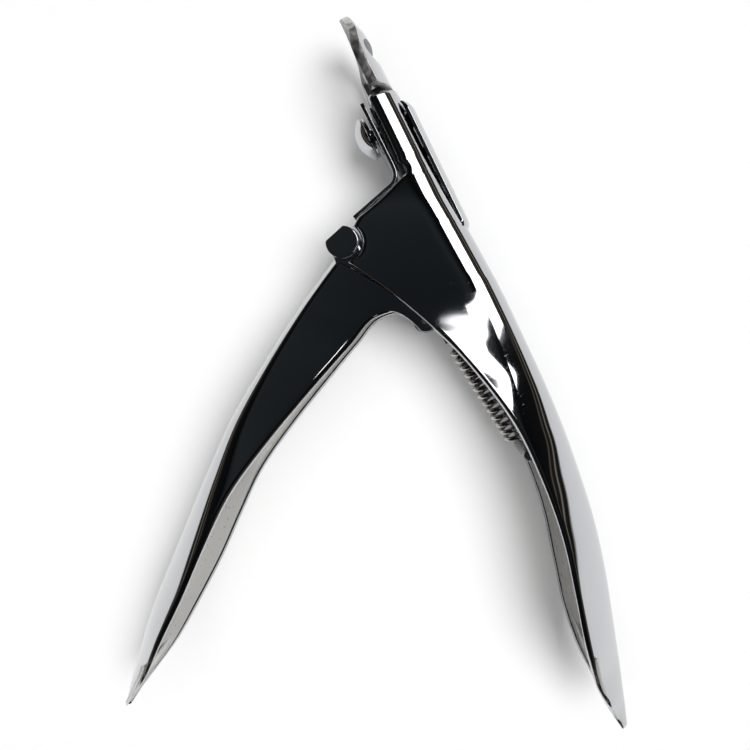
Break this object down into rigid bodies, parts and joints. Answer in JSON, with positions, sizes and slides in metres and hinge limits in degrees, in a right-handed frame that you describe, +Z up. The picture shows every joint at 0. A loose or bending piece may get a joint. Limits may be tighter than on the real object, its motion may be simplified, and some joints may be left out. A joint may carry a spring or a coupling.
{
  "type": "nail tip cutter",
  "caption": "Hand-squeezed cutter with two pressed channel handles, a sliding blade under an arched slotted guide, and a coil spring that reopens it.",
  "frame": {"origin": "middle of the tool's box on the plane that it lies on", "axes": "+Y along the nose towards the cutting end, +X towards the back of the nose, +Z up through the tool as it lies on its side"},
  "size_m": [0.095, 0.1378, 0.0177],
  "materials": {
    "bright_chrome": "mirror-polished chrome plate",
    "blade_steel": "sheared and ground steel",
    "inner_steel": "plain plated steel",
    "spring_wire": "drawn and plated spring wire"
  },
  "bodies": {
    "frame": {"frame_handle": "bright_chrome", "guide_plate": "bright_chrome", "front_cover": "bright_chrome", "dome_screw": "bright_chrome", "dome_washer": "bright_chrome", "back_plate": "bright_chrome", "back_rivet_1": "inner_steel", "back_rivet_2": "inner_steel", "back_rivet_3": "inner_steel", "spring_anchor_pin": "inner_steel", "return_spring": "spring_wire"},
    "lever": {"lever_handle": "bright_chrome", "pivot_pin": "bright_chrome", "drive_pin": "inner_steel", "drive_roller": "inner_steel"},
    "slide": {"blade_slide": "inner_steel", "slide_yoke": "inner_steel", "cutter_blade": "blade_steel", "blade_rivet_1": "inner_steel", "blade_rivet_2": "inner_steel", "yoke_rivet": "inner_steel"}
  },
  "joints": [
    {"name": "lever_squeeze", "type": "hinge", "parent": "frame", "child": "lever", "pos_m": [0.0254, 0.03125, 0.00884], "axis": [0, 0, 1], "range_deg": [0, 30], "stiffness_Nm_per_rad": 0.3, "springref_deg": -17.19},
    {"name": "blade_travel", "type": "slide", "parent": "frame", "child": "slide", "axis": [0, 1, 0], "range_m": [0, 0.0058], "deforming": ["return_spring"]}
  ],
  "couplings": [
    {"joint": "blade_travel", "follows": "lever_squeeze", "m_per_rad": 0.010957}
  ]
}
